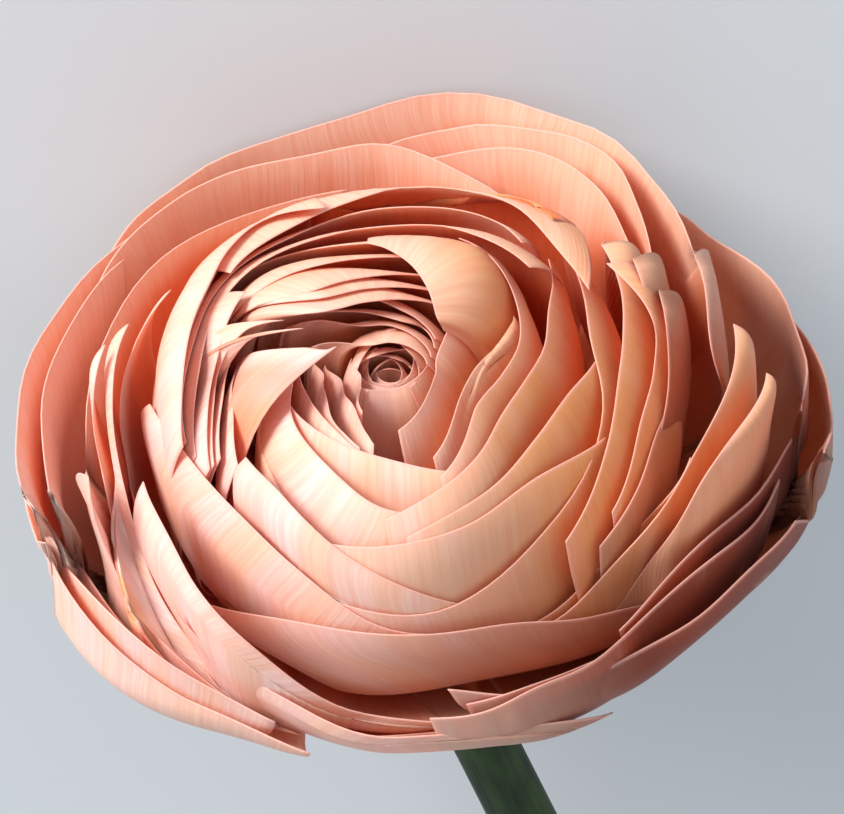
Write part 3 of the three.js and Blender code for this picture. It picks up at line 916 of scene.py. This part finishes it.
def tubePiece(name, centres, radii, sides, ribDepth, finish):
    # a closed tube along its centres, in metres, with flat ends
    centres = np.array(centres, float)
    forward = np.gradient(centres, axis=0)
    forward /= np.linalg.norm(forward, axis=1, keepdims=True)
    first = np.cross(forward, [0.0, 0.0, 1.0])
    first /= np.linalg.norm(first, axis=1, keepdims=True)
    second = np.cross(forward, first)
    turns = np.linspace(0, 2 * math.pi, sides, endpoint=False)
    ring = np.cos(turns)[None, :, None] * first[:, None] + np.sin(turns)[None, :, None] * second[:, None]
    ribbed = 1 + ribDepth * np.cos(turns * tubeForm["ribs"])
    body = centres[:, None] + ring * np.array(radii, float)[:, None, None] * ribbed[None, :, None]
    rings = len(centres)
    count = rings * sides
    at = np.arange(count).reshape(rings, sides)
    after = np.roll(at, -1, 1)
    quads = np.stack([at[:-1], after[:-1], after[1:], at[1:]], -1).reshape(-1, 4).tolist()
    caps = np.stack([np.full(sides, count), after[0], at[0]], -1).tolist()
    caps += np.stack([np.full(sides, count + 1), at[-1], after[-1]], -1).tolist()
    along = np.broadcast_to(arc(centres[:, None], 0), (rings, sides)) / mm
    across = np.broadcast_to((turns * tubeForm["finishRadius"])[None], (rings, sides))
    points = np.concatenate([body.reshape(-1, 3), centres[[0, -1]]])
    values = {
        "across": np.append(across.reshape(-1), [0, 0]),
        "along": np.append(along.reshape(-1), along[[0, -1], 0]),
    }
    smooth = [True] * len(quads) + [False] * len(caps)
    return meshPiece(name, points, quads + caps, smooth, values, finish)


def cupPiece(finish):
    form = calyxForm
    heights = np.linspace(form["top"] - form["lip"], form["top"] - form["depth"], form["cupRings"])
    below = (form["top"] - heights) / form["depth"]
    radii = (form["waist"] - form["taper"] * below ** form["taperPower"]) * mm
    centres = toTable([(0, 0, height) for height in heights], False)
    return tubePiece("calyx_cup", centres, radii, form["cupSides"], form["cupRibs"], finish)


sepalSheets = [sepalSolid(k) for k in range(calyxForm["sepals"])]
sepals = sheetPiece("sepals", sepalSheets, stemFinish("sepal", 0.8))
cup = cupPiece(stemFinish("cup", 0.7))
for piece in (sepals, cup):
    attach(piece, "root")
    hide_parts("calyx")
print("calyx made")

# In mm.
stemForm = {
    "start": 6.1,  # below the bloom's base
    "straight": 5.0,  # before it bends
    "bend": 15.0,  # degrees that it turns aside
    "length": 118.0,  # straight from its start to its cut end
    "endHeight": 3.72,  # of its cut end's middle above the table
    "near": 0.15,  # two places on its way from the bend to its end
    "middle": 0.55,
    "bow": (0.8, 0, 1.2),  # how far its middle stands off the straight way
    "radius": 3.68,
    "narrowing": 0.035,  # of its radius
    "swelling": 0.03,  # of its radius, at the calyx
    "sides": 40,
    "steps": 17,  # between two knots of its curve
    "ribs": 0.012,  # of its radius
}


def stemCentres():
    form = stemForm
    axis = Vector((0, math.cos(tilt), -math.sin(tilt)))
    start = Vector(bloomBase) / mm + axis * form["start"]
    turn = math.radians(form["bend"])
    aside = Vector((-math.sin(turn), math.cos(turn), 0))
    end = start + aside * form["length"] * math.cos(tilt)
    end.z = form["endHeight"]
    bend = start + axis * form["straight"]
    near = bend.lerp(end, form["near"])
    middle = bend.lerp(end, form["middle"]) + Vector(form["bow"])
    knots = [start * 2 - bend, start, bend, near, middle, end, end * 2 - middle]
    places = []
    for four in zip(knots[:-3], knots[1:-2], knots[2:-1], knots[3:]):
        places += [curved(*four, step / form["steps"]) for step in range(form["steps"])]
    return np.array(places + [end]) * mm


def stemPiece(finish):
    form = stemForm
    centres = stemCentres()
    share = np.linspace(0, 1, len(centres))
    narrowing = form["narrowing"] * np.sin(share * 9) ** 2
    swelling = form["swelling"] * np.exp(-share * 20)
    radii = form["radius"] * mm * (1 - narrowing + swelling)
    return tubePiece("stem_skin", centres, radii, form["sides"], form["ribs"], finish)


stem = stemPiece(stemFinish("stem", 0.35))
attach(stem, "root")
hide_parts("stem")
print("stem made")

# In metres. Each lamp stands off the bloom's eye: to the right, up and towards the viewer.
studio = {
    "floorSize": 6.0,
    "floorColour": (0.60, 0.625, 0.645),
    "floorShade": 0.97,  # of its colour, where its grain is darkest
    "worldColour": (0.86, 0.93, 1.0),
    "worldStrength": 0.80,
    "lamps": {
        "key": {
            "from": (-0.68, 0.46, 0.58),
            "distance": 1.7,
            "size": 0.9,
            "power": 45.0,
            "colour": (1.0, 0.97, 0.94),
        },
        "fill": {
            "from": (0.75, 0.25, 0.6),
            "distance": 1.8,
            "size": 1.8,
            "power": 2.0,
            "colour": (1.0, 0.98, 0.96),
        },
    },
}


def floorFinish():
    made = Finish("floor")
    grain = made.node("TexNoise", None, {"Scale": 3.0, "Detail": 2.0})
    low = tuple(studio["floorShade"] * part for part in studio["floorColour"])
    return made.surface(made.node("BsdfPrincipled", None, {
        "Base Color": made.mix(grain, low, studio["floorColour"]),
        "Roughness": 0.85,
        "Specular IOR Level": 0.1,
    }))


half = studio["floorSize"] / 2
corners = np.array([(-half, -half, 0), (half, -half, 0), (half, half, 0), (-half, half, 0)])
floor = meshPiece("floor", corners, [(0, 1, 2, 3)], [False], {}, floorFinish())

turn = math.radians(viewing["turn"])
toward = towardsViewer @ bloomTurn
level = np.array([1.0, 0, 0]) @ bloomTurn
steep = np.array([0, math.cos(down), math.sin(down)]) @ bloomTurn
rightward = level * math.cos(turn) - steep * math.sin(turn)
upward = level * math.sin(turn) + steep * math.cos(turn)
eye = toTable([(0, 0, bloomShape["eyeHeight"])], False)[0]

cameraData = bpy.data.cameras.new("camera")
cameraData.lens = viewing["lens"]
cameraData.sensor_width = viewing["sensorWidth"]
cameraData.shift_x, cameraData.shift_y = viewing["shift"]
camera = bpy.data.objects.new("camera", cameraData)
facing = Matrix([rightward, upward, toward]).transposed().to_4x4()
camera.matrix_world = Matrix.Translation(Vector(eye + toward * viewing["distance"] * mm)) @ facing
bpy.context.scene.collection.objects.link(camera)
bpy.context.scene.camera = camera

for name, lamp in studio["lamps"].items():
    right, up, nearer = lamp["from"]
    way = Vector(right * rightward + up * upward + nearer * toward).normalized()
    lampData = bpy.data.lights.new(name, "AREA")
    lampData.shape = "DISK"
    lampData.size = lamp["size"]
    lampData.energy = lamp["power"]
    lampData.color = lamp["colour"]
    light = bpy.data.objects.new(name, lampData)
    facing = way.to_track_quat("Z", "Y").to_matrix().to_4x4()
    light.matrix_world = Matrix.Translation(Vector(eye) + way * lamp["distance"]) @ facing
    bpy.context.scene.collection.objects.link(light)

world = bpy.data.worlds.new("studio")
world.use_nodes = True
background = world.node_tree.nodes["Background"]
background.inputs["Color"].default_value = (*studio["worldColour"], 1)
background.inputs["Strength"].default_value = studio["worldStrength"]
bpy.context.scene.world = world
bpy.context.scene.view_settings.view_transform = "Standard"
bpy.context.scene.cycles.diffuse_bounces = 6
bpy.context.scene.cycles.transmission_bounces = 8
bpy.context.scene.cycles.max_bounces = 12
print("studio set")
